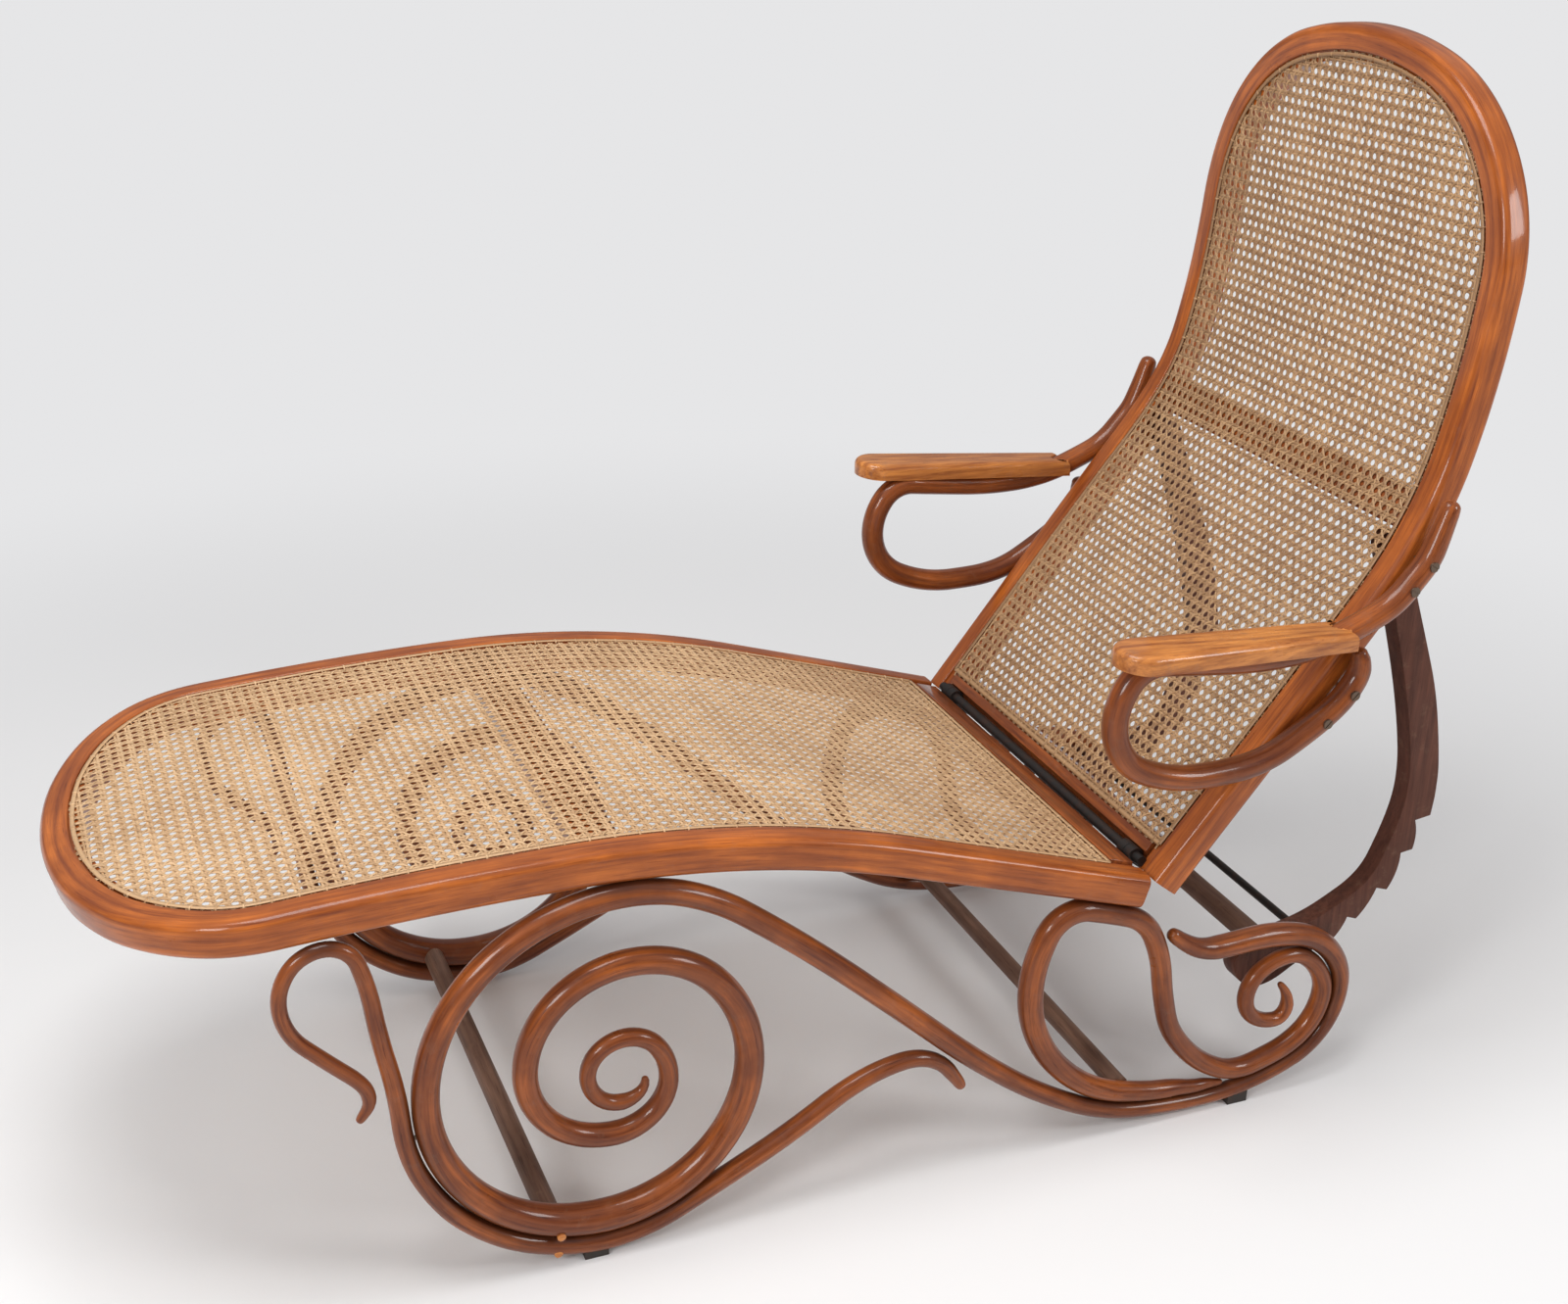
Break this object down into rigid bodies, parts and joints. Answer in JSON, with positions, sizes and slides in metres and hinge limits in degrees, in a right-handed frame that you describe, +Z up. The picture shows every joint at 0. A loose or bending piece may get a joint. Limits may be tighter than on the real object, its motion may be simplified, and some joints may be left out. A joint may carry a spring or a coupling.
{
  "type": "bentwood reclining rocking chair",
  "caption": "Bentwood recliner with scrolled side strands, long cane seat, hinged cane back, looped arms and toothed props that catch on an iron rod",
  "frame": {"origin": "on the floor under the middle of the whole chair", "axes": "+X towards the head end, +Y to the sitter's right side away from the camera, +Z up"},
  "size_m": [1.5304, 0.7142, 1.187],
  "materials": {
    "bent_beech": "french polished, red brown",
    "light_arm_wood": "worn polish, orange brown",
    "matte_brown_wood": "matte dark brown",
    "grey_brown_wood": "dull grey brown",
    "woven_cane": "six-way woven cane",
    "black_iron": "dark worn iron",
    "dark_steel": "dull steel",
    "dark_foot": "dark pad"
  },
  "bodies": {
    "base": {"main_scroll_left": "bent_beech", "main_scroll_right": "bent_beech", "foot_scroll_left": "bent_beech", "foot_scroll_right": "bent_beech", "rear_scroll_left": "bent_beech", "rear_scroll_right": "bent_beech", "scroll_screws_left": "dark_steel", "scroll_screws_right": "dark_steel", "front_stretcher": "grey_brown_wood", "middle_stretcher": "grey_brown_wood", "support_rod": "black_iron", "front_foot_left": "dark_foot", "front_foot_right": "dark_foot", "rear_foot_left": "dark_foot", "rear_foot_right": "dark_foot", "seat_rim": "bent_beech", "seat_rear_rail": "bent_beech", "seat_cross_rail": "bent_beech", "seat_cane": "woven_cane", "seat_hinge_left": "black_iron", "seat_hinge_right": "black_iron", "hinge_rod": "black_iron"},
    "back": {"back_rim": "bent_beech", "back_bottom_rail": "bent_beech", "back_cross_rail": "bent_beech", "back_cane": "woven_cane", "arm_loop_left": "bent_beech", "arm_loop_right": "bent_beech", "arm_screws_left": "dark_steel", "arm_screws_right": "dark_steel", "arm_pad_left": "light_arm_wood", "arm_pad_right": "light_arm_wood", "back_hinge_left": "black_iron", "back_hinge_right": "black_iron", "bow_pin_left": "dark_steel", "bow_pin_right": "dark_steel"},
    "bow": {"bow_left": "matte_brown_wood", "bow_right": "matte_brown_wood", "bow_cross_bar": "matte_brown_wood"}
  },
  "joints": [
    {"name": "back_recline", "type": "hinge", "parent": "base", "child": "back", "pos_m": [0.36585, 0, 0.331], "axis": [0, 1, 0], "range_deg": [0, 24]},
    {"name": "bow_swing", "type": "hinge", "parent": "back", "child": "bow", "pos_m": [0.65685, 0, 0.664], "axis": [0, 1, 0], "range_deg": [0, 13.5]}
  ],
  "couplings": [
    {"joint": "bow_swing", "follows": "back_recline", "ratio": 0.55}
  ]
}
